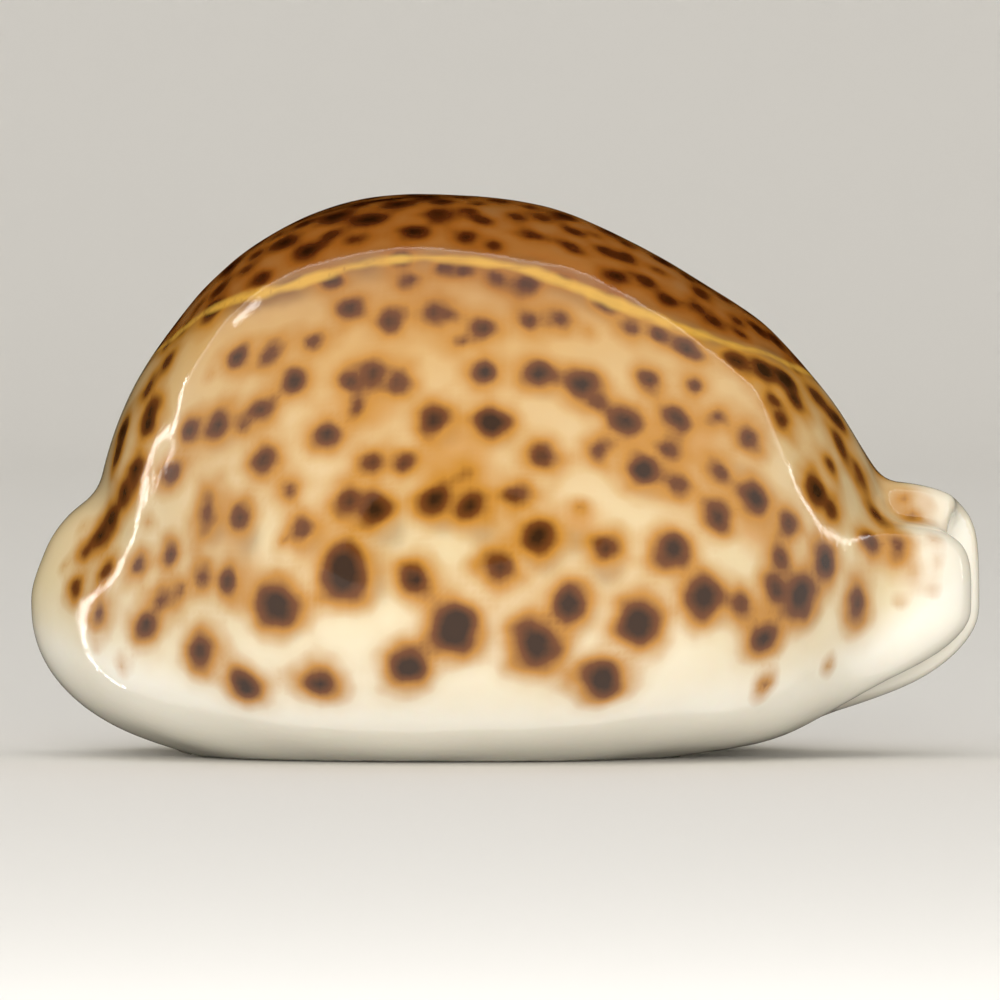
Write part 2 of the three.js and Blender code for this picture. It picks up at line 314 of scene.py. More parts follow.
def rounded_body(*axes):
    """Rough distance to a rounded body. Each axis is its offset, half size and power."""
    level, slope = -1.0, 1e-6
    for offset, half, power in axes:
        share = np.abs(offset) / half
        level = level + share ** power
        slope = slope + (power * share ** (power - 1) / half) ** 2
    return level / np.sqrt(slope)


def joined(a, b, reach):
    """Distance to two bodies grown together, with a fillet of about the given reach."""
    overlap = np.maximum(reach - np.abs(a - b), 0) / reach
    return np.minimum(a, b) - overlap * overlap * reach / 4


def without(a, b, reach):
    """Distance to the first body with the second cut away and the edge rounded."""
    return -joined(-a, b, reach)


def dome(s, x, y, z):
    """The last whorl: an egg with its crest behind the middle."""
    forward = smooth(x, s.crest - DOME.turn, s.crest + DOME.turn)
    half = mix(s.back, s.front, forward)
    ahead = np.clip((x - s.crest) / half, 0, 1)
    taper = 1 - DOME.taper * ahead ** 3 * (1 - ahead)
    up = z - s.widest
    height = mix(DOME.drop, s.rise * taper, smooth(up, -DOME.level, DOME.level))
    return rounded_body(
        (x - s.crest, half, mix(DOME.full_back, DOME.full_front, forward)),
        (y - DOME.side, s.half_width, DOME.full_across),
        (up, height, DOME.full_up),
    )


def rocker(x):
    """How far the base stands off the ground along its length."""
    spire = np.maximum(ROCKER.centre - x, 0) / ROCKER.spire_length
    siphon = np.maximum(x - ROCKER.centre, 0) / ROCKER.siphon_length
    ends = ROCKER.spire * spire ** ROCKER.spire_power + ROCKER.siphon * siphon ** ROCKER.siphon_power
    return ends + ROCKER.step * smooth(x, *ROCKER.step_along)


def callus_half_width(x, z):
    """Half the width of the thick base, which flares out from each collar to the middle."""
    away = np.minimum(np.abs((x - CALLUS.flare_centre) / CALLUS.flare_reach), 1)
    siphon = smooth(x, *CALLUS.flare_changes)
    full = mix(CALLUS_SPIRE.flare_full, CALLUS_SIPHON.flare_full, siphon)
    tail = mix(CALLUS_SPIRE.flare_tail, CALLUS_SIPHON.flare_tail, siphon)
    slim = 1 - WAIST.share * smooth(z, *WAIST.up) * smooth(-x, *WAIST.along)
    return (CALLUS.collar + CALLUS.flare * (1 - away ** full) ** tail) * slim


def callus(x, y, z):
    """The thick base with the collar at each end."""
    share = smooth(x, -CALLUS.change, CALLUS.change)
    outer = smooth(-y, 0, OUTER_LOBE.across)
    lobe = outer * smooth(x, *OUTER_LOBE.along)
    up = z - CALLUS.centre
    rise = mix(CALLUS_SPIRE.rise, CALLUS_SIPHON.rise, share) - OUTER_LOBE.lower * lobe
    fall = CALLUS.centre - rocker(x) - OUTER_LOBE.lifted * outer * smooth(x, *OUTER_LOBE.lifted_along)
    height = np.where(up > 0, rise, fall)
    full_up = np.where(up > 0, mix(CALLUS_SPIRE.full_up, CALLUS_SIPHON.full_up, share), CALLUS.full_down)
    full_along = mix(CALLUS_SPIRE.full_along, CALLUS_SIPHON.full_along, share)
    full_across = mix(CALLUS_SPIRE.full_across, CALLUS_SIPHON.full_across, share)
    return rounded_body(
        (x, CALLUS.half - OUTER_LOBE.shorter * lobe, full_along),
        (y - CALLUS.side, callus_half_width(x, z), full_across),
        (up, height, full_up),
    )


def ripples(x, y, z, depth):
    """Slow waves left by growth, in fixed random directions."""
    draw = np.random.default_rng(3)
    total = 0.0
    for count, shortest, longest, share in RIPPLES:
        for _ in range(count):
            direction = draw.normal(size=3)
            direction /= np.linalg.norm(direction)
            a, b, c = direction * 2 * np.pi / draw.uniform(shortest, longest)
            total = total + share * np.sin(a * x + b * y + c * z + draw.uniform(0, 6))
    return depth * total / 3


def outside(s, x, y, z):
    """The whole shell's outer skin, with the worn spot that it rests on."""
    tight = smooth(np.abs(x), *CREASE.along) * np.where(x < 0, smooth(z, *CREASE.spire_up), 1)
    skin = joined(dome(s, x, y, z), callus(x, y, z), mix(CREASE.flank, s.crease, tight))
    return np.maximum(skin + ripples(x, y, z, s.ripple), FLAT_SPOT - z)


def slit_centre(x):
    """The slit's middle line, which bends to the columella at both ends."""
    spire = np.clip((-x - SLIT.spire_from) / SLIT.bend_length, 0, 1)
    siphon = np.clip((x - SLIT.siphon_from) / SLIT.bend_length, 0, 1)
    return SLIT.side + SLIT.spire_bend * spire ** 2 + SLIT.siphon_bend * siphon ** 2


def slit_half(s, x):
    """Half the slit's width: a little narrower at the spire end, wider at the siphon end."""
    spire = SLIT.narrower * smooth(-x, 0, SLIT.ends)
    return s.slit - spire + SLIT.wider * smooth(x, SLIT.wider_from, SLIT.ends)


def across_slit(s, x, y):
    """Distance from the aperture's wall, positive on the lips."""
    return np.abs(y - slit_centre(x)) - slit_half(s, x)


def aperture(s, x, y, z):
    """The slit in the base, whose roof climbs out through each collar as a canal."""
    roof = np.interp(x, *zip(*SLIT_ROOF))
    return -joined(-across_slit(s, x, y), roof - z, CORNER.roof)


def hollow(s, x, y, z):
    """The room that the animal lived in."""
    return -joined(-dome(s, x, y, z) - s.wall, z - s.base, CORNER.room)


def shell_distance(s, x, y, z):
    """Rough distance to the finished shell, hollow and aperture cut out and the lips rolled in."""
    lip = mix(s.lip, CORNER.end_lip, smooth(np.abs(x), *CORNER.end_lip_along))
    empty = joined(hollow(s, x, y, z), aperture(s, x, y, z), CORNER.mouth)
    return without(outside(s, x, y, z), empty, lip)


# ---------------------------------------------------------------- from rule to mesh

def surface_of(distance, low, high, step):
    """Points and quads where the distance is nought."""
    axes = [np.arange(low[i], high[i] + step, step, dtype=np.float32) for i in range(3)]
    values = distance(*np.meshgrid(*axes, indexing="ij", sparse=True)).astype(np.float32)
    band = 4 * step
    volume = openvdb.FloatGrid(band)
    volume.copyFromArray(np.clip(values, -band, band))
    volume.transform = openvdb.createLinearTransform(voxelSize=step)
    points, quads = volume.convertToQuads(isovalue=0.0)
    return points.astype(float) + np.array([a[0] for a in axes]), quads[:, ::-1]


def slope_of(distance, points, step=0.02):
    """Direction and steepness in which the distance grows."""
    result = np.empty_like(points)
    for axis in range(3):
        shift = np.zeros(3)
        shift[axis] = step
        result[:, axis] = (distance(*(points + shift).T) - distance(*(points - shift).T)) / (2 * step)
    return result


def settled(distance, points, rounds=3, least_slope=0.05, longest_move=0.5):
    """The points drawn onto the surface."""
    for _ in range(rounds):
        slope = slope_of(distance, points)
        value = distance(*points.T)
        move = slope * (value / np.maximum((slope ** 2).sum(1), least_slope))[:, None]
        size = np.linalg.norm(move, axis=1, keepdims=True)
        points = points - move * np.minimum(1, longest_move / np.maximum(size, 1e-9))
    return points


def evened(distance, points, edges, rounds=6, ease=0.6):
    """The points spread evenly along the surface."""
    ends = np.concatenate([edges, edges[:, ::-1]])
    count = np.bincount(ends[:, 0], minlength=len(points))[:, None]
    for _ in range(rounds):
        sums = [np.bincount(ends[:, 0], points[ends[:, 1], i], len(points)) for i in range(3)]
        move = np.stack(sums, axis=1) / count - points
        normal = slope_of(distance, points)
        normal /= np.linalg.norm(normal, axis=1, keepdims=True)
        points = points + ease * (move - normal * (move * normal).sum(1)[:, None])
        points = settled(distance, points, 1)
    return points


def vectors_of(items, name, width=3, kind=np.float32):
    """One field of a mesh's vertices or edges as an array."""
    flat = np.empty(len(items) * width, dtype=kind)
    items.foreach_get(name, flat)
    return flat.reshape(-1, width)


def points_of(mesh):
    return vectors_of(mesh.vertices, "co").astype(float)


def edges_of(mesh):
    return vectors_of(mesh.edges, "vertices", 2, np.int32)


def move_points(mesh, points):
    mesh.vertices.foreach_set("co", points.astype(np.float32).ravel())
    mesh.update()


def refined(mesh, chosen, bend):
    """Splits the faces around chosen points, and those that meet at more than the angle in radians."""
    work = bmesh.new()
    work.from_mesh(mesh)
    work.verts.ensure_lookup_table()
    faces = {face for index in np.flatnonzero(chosen) for face in work.verts[index].link_faces}
    for edge in work.edges:
        if edge.is_manifold and edge.calc_face_angle(0) > bend:
            faces.update(edge.link_faces)
    edges = list({edge for face in faces for edge in face.edges})
    edges.sort(key=lambda edge: edge.index)
    bmesh.ops.subdivide_edges(work, edges=edges, cuts=1, use_grid_fill=True)
    bmesh.ops.triangulate(work, faces=[face for face in work.faces if len(face.verts) > 4])
    work.to_mesh(mesh)
    work.free()


def plain_copy(piece):
    """The piece's mesh with its modifiers applied, which leave it."""
    view = bpy.context.evaluated_depsgraph_get()
    mesh = bpy.data.meshes.new_from_object(piece.evaluated_get(view))
    piece.modifiers.clear()
    old = piece.data
    piece.data = mesh
    bpy.data.meshes.remove(old)
    return mesh


def keep_field(mesh, name, values):
    field = mesh.attributes.get(name) or mesh.attributes.new(name, "FLOAT", "POINT")
    field.data.foreach_set("value", values.astype(np.float32))


# ---------------------------------------------------------------- node trees

def add(tree, kind, sockets=None, **settings):
    """Adds a node, sets its settings, and fills or links its sockets."""
    node = tree.nodes.new(kind)
    for name, value in settings.items():
        setattr(node, name, value)
    for name, value in (sockets or {}).items():
        if isinstance(value, bpy.types.NodeSocket):
            tree.links.new(value, node.inputs[name])
        else:
            node.inputs[name].default_value = value
    return node


def geometry_tree(name, values):
    """An empty tree with a geometry in and out and the given named inputs."""
    tree = bpy.data.node_groups.new(name, "GeometryNodeTree")
    tree.interface.new_socket("Geometry", in_out="OUTPUT", socket_type="NodeSocketGeometry")
    tree.interface.new_socket("Geometry", in_out="INPUT", socket_type="NodeSocketGeometry")
    for label, value in values.items():
        kind = {int: "NodeSocketInt", float: "NodeSocketFloat"}.get(type(value), "NodeSocketMaterial")
        tree.interface.new_socket(label, in_out="INPUT", socket_type=kind)
    return tree, tree.nodes.new("NodeGroupInput"), tree.nodes.new("NodeGroupOutput")


def run_tree(piece, tree, values):
    """Runs a tree on the piece with its named inputs, and keeps the result as a plain mesh."""
    modifier = piece.modifiers.new(tree.name, "NODES")
    modifier.node_group = tree
    for item in tree.interface.items_tree:
        if item.in_out == "INPUT" and item.name in values:
            modifier[item.identifier] = values[item.name]
    return plain_copy(piece)


def field_of(tree, name):
    """A point field of numbers by its name."""
    return add(tree, "GeometryNodeInputNamedAttribute", {"Name": name}, data_type="FLOAT").outputs[0]


def close_tree(tree, given, result, geometry):
    """Ends a tree with real geometry in the shell's material."""
    real = add(tree, "GeometryNodeRealizeInstances", {0: geometry})
    sockets = {"Geometry": real.outputs[0], "Material": given.outputs["Glaze"]}
    glazed = add(tree, "GeometryNodeSetMaterial", sockets)
    tree.links.new(glazed.outputs[0], result.inputs[0])
    return tree


def teeth_tree(values):
    """Sinks grooves into the lips, which leaves a row of rounded teeth.
    They follow the point field 'along' and lie within 'lip'."""
    tree, given, result = geometry_tree("Lip teeth", values)

    def math(operation, a, b=0.0):
        return add(tree, "ShaderNodeMath", {0: a, 1: b}, operation=operation).outputs[0]

    turns = math("DIVIDE", field_of(tree, "along"), given.outputs["Pitch"])
    wave = math("COSINE", math("MULTIPLY", turns, 2 * pi))
    ridge = add(
        tree, "ShaderNodeMapRange", {0: wave, 1: -0.75, 2: 0.55, 3: 0.0, 4: 1.0},
        interpolation_type="SMOOTHSTEP",
    ).outputs[0]
    cut = math("MULTIPLY", math("SUBTRACT", ridge, 1.0), field_of(tree, "lip"))
    height = math("MULTIPLY", cut, given.outputs["Height"])
    normal = add(tree, "GeometryNodeInputNormal").outputs[0]
    offset = add(tree, "ShaderNodeVectorMath", {0: normal, "Scale": height}, operation="SCALE").outputs[0]
    moved = add(tree, "GeometryNodeSetPosition", {"Geometry": given.outputs["Geometry"], "Offset": offset})
    return close_tree(tree, given, result, moved.outputs[0])


def scatter_tree(values):
    """Scatters points over the faces, thick where the point field 'painted' is high."""
    tree, given, result = geometry_tree("Spot scatter", values)
    sown = add(
        tree, "GeometryNodeDistributePointsOnFaces",
        {
            "Mesh": given.outputs["Geometry"], "Distance Min": given.outputs["Spacing"], "Density Max": 4.0,
            "Density Factor": field_of(tree, "painted"), "Seed": given.outputs["Seed"],
        },
        distribute_method="POISSON",
    )
    dots = add(tree, "GeometryNodePointsToVertices", {"Points": sown.outputs["Points"]})
    return close_tree(tree, given, result, dots.outputs[0])


# ---------------------------------------------------------------- the shell

def rule_of(s):
    """The shell's rule for one set of sizes."""
    def distance(x, y, z):
        return shell_distance(s, x, y, z)

    return distance


def grown_mesh(s, mesh):
    """The shell's surface in mm, fine at the lips and creases."""
    distance = rule_of(s)
    points, quads = surface_of(distance, *GROWTH_SPACE, s.grid)
    mesh.from_pydata(points.tolist(), [], quads.tolist())
    points = evened(distance, settled(distance, points), edges_of(mesh))
    move_points(mesh, points)
    x, y, z = points.T
    beside_slit = np.abs(across_slit(s, x, y)) < LIP_BAND.across
    refined(mesh, beside_slit & (z < LIP_BAND.up) & (np.abs(x) < LIP_BAND.along), bend=0.2)
    move_points(mesh, settled(distance, points_of(mesh)))


def mark_lips(s, teeth, mesh):
    """Says where the teeth stand: on both lips, further onto the base on the outer lip."""
    x, y, z = points_of(mesh).T
    side = y - slit_centre(x)
    reach = TEETH_REACH
    outer = mix(reach.outer, reach.outer_at_siphon, smooth(x, *reach.siphon_along))
    onto = 1 - smooth(across_slit(s, x, y), reach.start, np.where(side < 0, outer, reach.columella))
    into = 1 - smooth(z, *reach.up)
    ends = 1 - smooth(np.abs(x + reach.middle), teeth.last - reach.tail, teeth.last)
    step = 0.5
    lean = (slit_centre(x + step) - slit_centre(x - step)) / (2 * step)
    keep_field(mesh, "lip", onto * into * ends)
    keep_field(mesh, "along", x + lean * side + np.where(side < 0, 0, teeth.pitch / 2))


def fitted(mesh):
    """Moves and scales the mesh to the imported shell's box, in metres."""
    points = points_of(mesh)
    low, high = points.min(0), points.max(0)
    box_low, box_high = SHELL_BOX
    points = box_low + (points - low) * (box_high - box_low) / (high - low)
    move_points(mesh, points * MM)


def true_normals(s, mesh):
    """Takes the gloss from the shell's rule, so that no facet shows, and from the mesh at the teeth."""
    points = points_of(mesh)
    slope = slope_of(rule_of(s), points)
    slope /= np.maximum(np.linalg.norm(slope, axis=1, keepdims=True), 1e-9)
    lip = np.empty(len(points), dtype=np.float32)
    mesh.attributes["lip"].data.foreach_get("value", lip)
    own = vectors_of(mesh.vertices, "normal")
    share = np.maximum(smooth(lip, 0, 0.05), smooth(0.5 - points[:, 2], 0, 0.1))[:, None]
    share = np.where((slope * own).sum(1)[:, None] < 0.8, 1, share)
    normal = mix(slope, own, share)
    return normal / np.linalg.norm(normal, axis=1, keepdims=True)


class COWRIE_OT_shell(bpy.types.Operator):
    """Grow the shell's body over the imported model, with the teeth of its lips"""
    bl_idname = "cowrie.shell"
    bl_label = "Grow Shell"

    def execute(self, context):
        scene = context.scene
        shape, teeth = scene.cowrie_shape, scene.cowrie_teeth
        shell = bpy.data.objects.new(PIECE, bpy.data.meshes.new(PIECE))
        scene.collection.objects.link(shell)
        grown_mesh(shape, shell.data)
        mark_lips(shape, teeth, shell.data)
        glaze = bpy.data.materials.new("mantle_polished_enamel")
        values = {"Pitch": teeth.pitch, "Height": teeth.height, "Glaze": glaze}
        mesh = run_tree(shell, teeth_tree(values), values)
        mesh.name = PIECE
        mesh.shade_smooth()
        normals = true_normals(shape, mesh)
        mark_shell(shape, scene.cowrie_markings, shell, mesh)
        fitted(mesh)
        mesh.normals_split_custom_set_from_vertices(normals.tolist())
        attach(shell, BODY)
        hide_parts(NODE)
        return {"FINISHED"}


# ---------------------------------------------------------------- the markings

def sight(studio):
    """The lens's place and the way up across the line of sight, in mm."""
    aim = Vector(AIM)
    distance = studio.width * studio.focal / SENSOR * 1000
    lens = aim + distance * Vector((0, -cos(studio.elevation), sin(studio.elevation)))
    return aim, lens, Vector((0, sin(studio.elevation), cos(studio.elevation)))


def near_points(tree, spots, least_slant=0.35):
    """The spots' places on the near side, as points, radii and heights.
    They are given on the upright sheet through the shell's middle, and drawn onto the shell away from
    the lens. A spot that is seen aslant is larger than it looks."""
    aim, lens, up = sight(bpy.context.scene.cowrie_studio)
    places = []
    for x, z, radius, *tall in spots:
        on_sheet = aim + Vector((x - aim.x, 0, 0)) + up * (z - aim.z)
        ray = (on_sheet - lens).normalized()
        hit, normal, _, _ = tree.ray_cast(lens, ray)
        if hit is None:
            hit, normal, _, _ = tree.find_nearest(on_sheet)
        slant = max(abs(normal.dot(ray)), least_slant) ** 0.5
        places.append((*hit, radius / slant, *(tall or (1.0,))))
    return np.array(places)


def seam_across(x):
    """Where the line between the two mantle flaps lies on the back."""
    share = np.abs((x - SEAM.centre) / SEAM.half)
    return SEAM.side * (1 - np.minimum(share, SEAM.limit) ** SEAM.power)


def spot_fields(points, spots, reach):
    """Distance to the nearest spot's edge, touching spots flowing together, and that spot's darkness."""
    weight = np.zeros(len(points))
    dark = np.zeros(len(points))
    for x, y, z, radius, tall, darkness in spots:
        offset = (points - (x, y, z)) / (1, 1, tall)
        share = np.exp(np.minimum(-(np.sqrt((offset ** 2).sum(1)) - radius) / reach, 60))
        weight += share
        dark += share * darkness
    return -reach * np.log(np.maximum(weight, 1e-12)), dark / np.maximum(weight, 1e-12)


def scattered(markings, shell, placed):
    """Spots for the back, the ends and the far side: small and crowded above, large and apart below."""
    helper = shell.copy()
    helper.data = shell.data.copy()
    bpy.context.scene.collection.objects.link(helper)
    values = {"Spacing": SOWN.dots, "Seed": markings.seed, "Glaze": shell.data.materials[0]}
    dots = points_of(run_tree(helper, scatter_tree(values), values))
    bpy.data.objects.remove(helper)
    draw = np.random.default_rng(markings.seed)
    kept = [tuple(spot[:3]) + (spot[3] * SOWN.beside_placed,) for spot in placed]
    spots = []
    for x, y, z in draw.permutation(dots):
        low = smooth(-z, *SOWN.down)
        on_back = y > seam_across(x) and z > SOWN.back_up
        spread = mix(mix(1.0, SOWN.crowded, on_back), SOWN.apart, low)
        spacing = markings.spacing * spread * draw.uniform(*SOWN.uneven)
        near = np.array(kept)
        gap = np.sqrt(((near[:, :3] - (x, y, z)) ** 2).sum(1))
        by_hand = slice(len(placed))
        clear = spacing + SOWN.clear_of_placed * near[by_hand, 3]
        if (gap < spacing).any() or (gap[by_hand] < clear).any():
            continue
        radius = draw.uniform(*SOWN.radius) * mix(1.0, SOWN.larger, low)
        kept.append((x, y, z, radius))
        spots.append((x, y, z, radius, 1.0, mix(1.0, SOWN.paler, low)))
    return spots


def deep_copies(sown, seed):
    """An older spot under each sown one, a little smaller and to one side."""
    draw = np.random.default_rng(seed)
    copies = []
    for x, y, z, radius, tall, _ in sown:
        shift = draw.normal(size=3) * 0.5
        copies.append((x + shift[0], y + shift[1], z + shift[2], radius * 0.9, tall, 1.0))
    return copies


def mark_spots(markings, shell, mesh, skin, fade):
    """Lays the spots, the deep spots and the clouds onto the shell as point fields."""
    points = points_of(mesh)
    hits = BVHTree.FromPolygons(points.tolist(), [tuple(face.vertices) for face in mesh.polygons])
    placed = []
    for spots, grown, darkness in SPOT_KINDS:
        for x, y, z, radius, tall in near_points(hits, spots):
            placed.append((x, y, z, radius + grown, tall, darkness))
    sown = scattered(markings, shell, placed)
    spot, darkness = spot_fields(points, placed + sown, MERGE.spots)
    deep_spots = [(*place, 1.0) for place in near_points(hits, DEEP_SPOTS)]
    deep, _ = spot_fields(points, deep_spots + deep_copies(sown, markings.seed + 1), MERGE.deep)
    clouds = [(*place, 1.0) for place in near_points(hits, CLOUDS)]
    cloud, _ = spot_fields(points, clouds, MERGE.clouds)
    inside = FIELD_REACH * (1 - skin)
    keep_field(mesh, "spot", np.clip(spot, -FIELD_REACH, FIELD_REACH) + inside)
    keep_field(mesh, "darkness", darkness * fade)
    keep_field(mesh, "deep_spot", np.clip(deep, -FIELD_REACH, FIELD_REACH) + inside)
    keep_field(mesh, "cloud", np.clip(-cloud / CLOUD_DEPTH, 0, 1))


def mark_shell(s, markings, shell, mesh):
    """Lays the mantle's pattern onto the shell as point fields, in mm."""
    x, y, z = points_of(mesh).T
    skin = outside(s, x, y, z) > -SKIN_DEPTH
    height = z - rocker(x)
    margin = MARGIN.height + MARGIN.ends * smooth(np.abs(x), *MARGIN.along)
    beyond_seam = y - seam_across(x)
    by_hand = (beyond_seam < 0) & (np.abs(x) < BY_HAND.along) | (y < BY_HAND.near)
    sown_along = (x > SOWN.along[0]) * (x < SOWN.along[1])
    keep_field(mesh, "painted", skin * smooth(height, margin, margin + 2) * (1 - by_hand) * sown_along)
    fade_low, fade_high = MARGIN.fade
    fade = mix(MARGIN.left, 1, smooth(height, margin + fade_low, margin + fade_high))
    mark_spots(markings, shell, mesh, skin, fade)
    back = BACK_TONE.tone * smooth(beyond_seam, *BACK_TONE.across) * smooth(z, *BACK_TONE.up)
    pale = 1 - PALE_LOBES.share * smooth(x, *PALE_LOBES.along)
    tone = np.maximum(np.interp(z, *zip(*TONES_UP)), back) * fade * pale
    keep_field(mesh, "tone", np.where(skin, tone, 0))
    off_seam = 1 - smooth(z, *SEAM.up) + (1 - skin)
    keep_field(mesh, "seam", np.abs(beyond_seam) + SEAM.away * off_seam)


def glaze_material(markings, glaze):
    """Aragonite enamel, laid down in thin layers and polished by the living mantle: a deep wet gloss over
    soft-edged spots that lie at different depths, with light sinking a little into the milky layers."""
    glaze.use_nodes = True
    tree = glaze.node_tree
    tree.nodes.clear()

    def field(name):
        return add(tree, "ShaderNodeAttribute", attribute_name=name).outputs["Fac"]

    def math(operation, a, b=0.0, c=0.0):
        return add(tree, "ShaderNodeMath", {0: a, 1: b, 2: c}, operation=operation).outputs[0]

    def noise(size_mm, detail, vector):
        return add(
            tree, "ShaderNodeTexNoise", {"Vector": vector, "Scale": 1 / (size_mm * MM), "Detail": detail}
        ).outputs["Fac"]

    def spread(value, low, high, kind="SMOOTHSTEP"):
        return add(
            tree, "ShaderNodeMapRange", {0: value, 1: low, 2: high, 3: 0.0, 4: 1.0}, interpolation_type=kind
        ).outputs[0]

    def blend(share, below, above, kind="MIX"):
        return add(
            tree, "ShaderNodeMix", {"Factor": share, 6: below, 7: above}, data_type="RGBA", blend_type=kind
        ).outputs[2]

    def paint(name):
        return (*getattr(markings, name), 1.0)

    place = add(tree, "ShaderNodeTexCoord").outputs["Object"]
    # Wander of the spots' edges (waves of 3 mm) and the fine grain of the pigment (0.5 mm).
    wander = math("SUBTRACT", noise(3, 1, place), 0.5)
    grain = math("SUBTRACT", noise(0.5, 3, place), 0.5)
    shift = math("MULTIPLY_ADD", grain, 0.1, math("MULTIPLY", wander, 2.1))
    spot = math("ADD", field("spot"), shift)
    deep = math("SUBTRACT", field("deep_spot"), math("MULTIPLY", shift, 0.6))
    # Broad drift of the ground colour, in patches of about 9 mm.
    drift = math("SUBTRACT", noise(9, 3, place), 0.5)
    tone = math("MULTIPLY_ADD", drift, 0.14, field("tone"))
    ground = add(tree, "ShaderNodeValToRGB", {"Fac": tone})
    ramp = ground.color_ramp
    ramp.elements[0].position = 0.05
    ramp.elements[0].color = paint("margin")
    ramp.elements[1].position = 0.88
    ramp.elements[1].color = paint("back")
    for position, name in ((0.28, "flank"), (0.62, "shoulder")):
        ramp.elements.new(position).color = paint(name)
    body = ground.outputs["Color"]
    body = blend(math("MULTIPLY", field("cloud"), 0.7), body, paint("cloud"))
    # Pigment gathers beside the line where the mantle's flaps met.
    seam = math("ADD", field("seam"), math("MULTIPLY", wander, 1.2))
    beside_seam = math("SUBTRACT", 1.0, spread(seam, 0.5, 2.2))
    body = blend(math("MULTIPLY", beside_seam, 0.75), body, paint("rust"))
    darkness = field("darkness")
    depth = math("MULTIPLY", math("SUBTRACT", 1.0, spread(deep, -1.0, 0.9)), 0.6)
    body = blend(math("MULTIPLY", depth, darkness), body, paint("deep"))
    # The ground is tanned for a few millimetres around each spot.
    tan = math("SUBTRACT", 1.0, spread(spot, 0.2, 2.6))
    body = blend(math("MULTIPLY", tan, math("MULTIPLY", darkness, 0.34)), body, paint("tan"))
    # A faint spot never gets as far as its dark heart.
    depth_in = math("ADD", spot, math("MULTIPLY_ADD", darkness, -1.25, 1.25))
    low, high = -1.7, 1.9
    share = add(tree, "ShaderNodeMapRange", {0: depth_in, 1: low, 2: high, 3: 0.0, 4: 1.0}).outputs[0]
    spots = add(tree, "ShaderNodeValToRGB", {"Fac": share})
    ramp = spots.color_ramp
    for index, (distance, name, cover) in enumerate(SPOT_PROFILE):
        position = (distance - low) / (high - low)
        stop = ramp.elements[index] if index < 2 else ramp.elements.new(position)
        stop.position = position
        stop.color = (*getattr(markings, name), cover)
    # On the brown back the spots are darker, and have no light rim.
    on_brown = spread(tone, 0.6, 0.85)
    spot_paint = blend(on_brown, spots.outputs["Color"], (0.6, 0.42, 0.3, 1), "MULTIPLY")
    body = blend(spots.outputs["Alpha"], body, spot_paint)
    on_seam = math("SUBTRACT", 1.0, spread(seam, 0.0, 0.75))
    body = blend(math("MULTIPLY", on_seam, 0.85), body, paint("seam"))

    rough = add(
        tree, "ShaderNodeMapRange", {0: noise(1.6, 4, place), 1: 0.3, 2: 0.7, 3: 0.05, 4: 0.085}
    ).outputs[0]
    bump = add(
        tree, "ShaderNodeBump", {"Height": noise(0.6, 4, place), "Strength": 0.04, "Distance": 0.0002}
    )
    surface = add(
        tree, "ShaderNodeBsdfPrincipled",
        {
            "Base Color": body, "Roughness": rough, "IOR": 1.55, "Subsurface Weight": 0.12,
            "Subsurface Radius": (1.0, 0.55, 0.3), "Subsurface Scale": 1.2 * MM, "Normal": bump.outputs[0],
        },
    )
    add(tree, "ShaderNodeOutputMaterial", {"Surface": surface.outputs[0]})


class COWRIE_OT_glaze(bpy.types.Operator):
    """Give the shell its polished, spotted enamel"""
    bl_idname = "cowrie.glaze"
    bl_label = "Glaze Shell"

    def execute(self, context):
        shell = bpy.data.objects[PIECE]
        glaze_material(context.scene.cowrie_markings, shell.data.materials[0])
        return {"FINISHED"}


# ---------------------------------------------------------------- the studio

def turned_shape(name, profile, steps=96):
    """A sheet turned about the z axis from a profile of radius and height."""
    points, faces = [], []
    for i in range(steps):
        angle = 2 * pi * i / steps
        points += [(r * cos(angle), r * sin(angle), z) for r, z in profile]
    count = len(profile)
    for i in range(steps):
        a, b = i * count, (i + 1) % steps * count
        faces += [(a + j, b + j, b + j + 1, a + j + 1) for j in range(count - 1)]
    mesh = bpy.data.meshes.new(name)
    mesh.from_pydata(points, [], faces)
    mesh.shade_smooth()
    return mesh


def tent_patch(name, front, rear, start, end, radius):
    """A patch of a ball. Angles in degrees: front and rear from straight ahead,
    start and end around the line of sight, from the right over the top."""
    rows, columns = 24, 48
    points, faces = [], []
    for i in range(rows + 1):
        away = radians(front + (rear - front) * i / rows)
        for j in range(columns + 1):
            around = radians(start + (end - start) * j / columns)
            ray = Vector((sin(away) * cos(around), -cos(away), sin(away) * sin(around)))
            points.append(ray * radius)
    for i in range(rows):
        for j in range(columns):
            a = i * (columns + 1) + j
            faces.append((a, a + 1, a + columns + 2, a + columns + 1))
    mesh = bpy.data.meshes.new(name)
    mesh.from_pydata(points, [], faces)
    return mesh


def glowing(name, glow):
    material = bpy.data.materials.new(name)
    material.use_nodes = True
    tree = material.node_tree
    tree.nodes.clear()
    light = add(tree, "ShaderNodeEmission", {"Color": (1, 0.985, 0.96, 1), "Strength": glow})
    add(tree, "ShaderNodeOutputMaterial", {"Surface": light.outputs[0]})
    return material


def paper_material(floor):
    """Uncoated seamless paper: matt, almost even, with a faint tooth."""
    material = bpy.data.materials.new("seamless_paper")
    material.use_nodes = True
    tree = material.node_tree
    tree.nodes.clear()
    place = add(tree, "ShaderNodeTexCoord").outputs["Object"]
    tooth = add(tree, "ShaderNodeTexNoise", {"Vector": place, "Scale": 900, "Detail": 3}).outputs["Fac"]
    bump = add(tree, "ShaderNodeBump", {"Height": tooth, "Strength": 0.05, "Distance": 0.0003})
    surface = add(
        tree, "ShaderNodeBsdfPrincipled",
        {"Base Color": (*floor, 1), "Roughness": 0.9, "Specular IOR Level": 0.1, "Normal": bump.outputs[0]},
    )
    add(tree, "ShaderNodeOutputMaterial", {"Surface": surface.outputs[0]})
    return material


